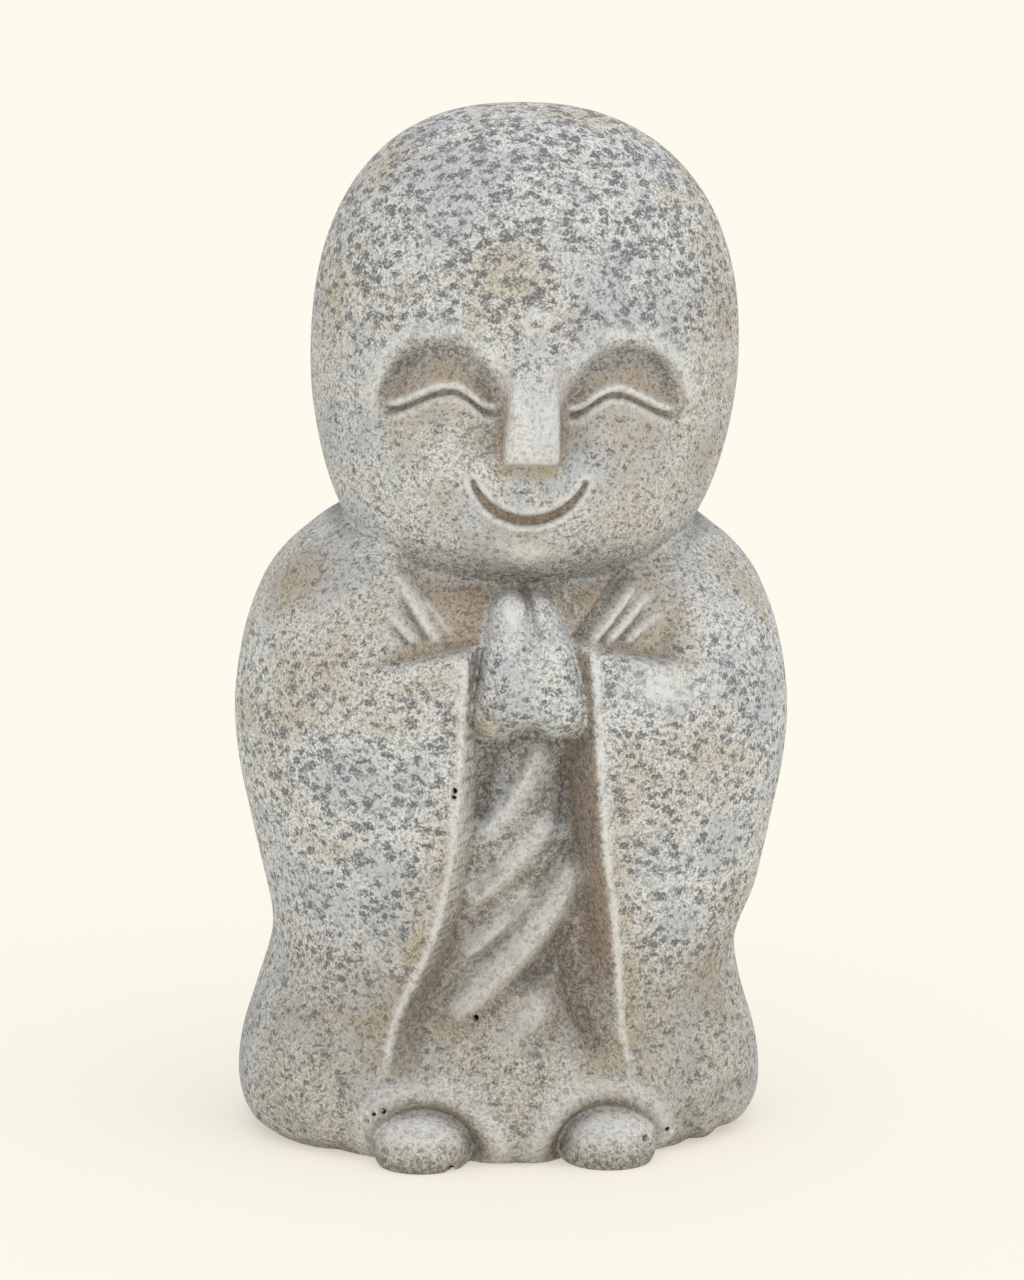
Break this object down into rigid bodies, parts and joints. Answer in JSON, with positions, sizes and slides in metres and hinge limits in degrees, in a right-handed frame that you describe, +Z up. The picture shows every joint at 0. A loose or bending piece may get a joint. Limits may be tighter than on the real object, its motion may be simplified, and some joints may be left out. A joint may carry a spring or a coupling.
{
  "type": "stone jizo statue",
  "caption": "Small standing jizo figure in cast stone: smiling round head, palms together, wide sleeves over a robe whose scalloped hem shows the toes. Stands on its flat underside.",
  "frame": {"origin": "middle of the underside, in the plane it stands on", "axes": "+Z up, -Y the way the figure faces, +X to the right of someone looking at its face"},
  "size_m": [0.1628, 0.126, 0.3],
  "materials": {
    "weathered_stone": "matt cast stone, pale warm grey with grey-blue speckles, brown wash in the hollows and pale worn edges"
  },
  "bodies": {
    "root": {"statue": "weathered_stone"}
  },
  "joints": []
}
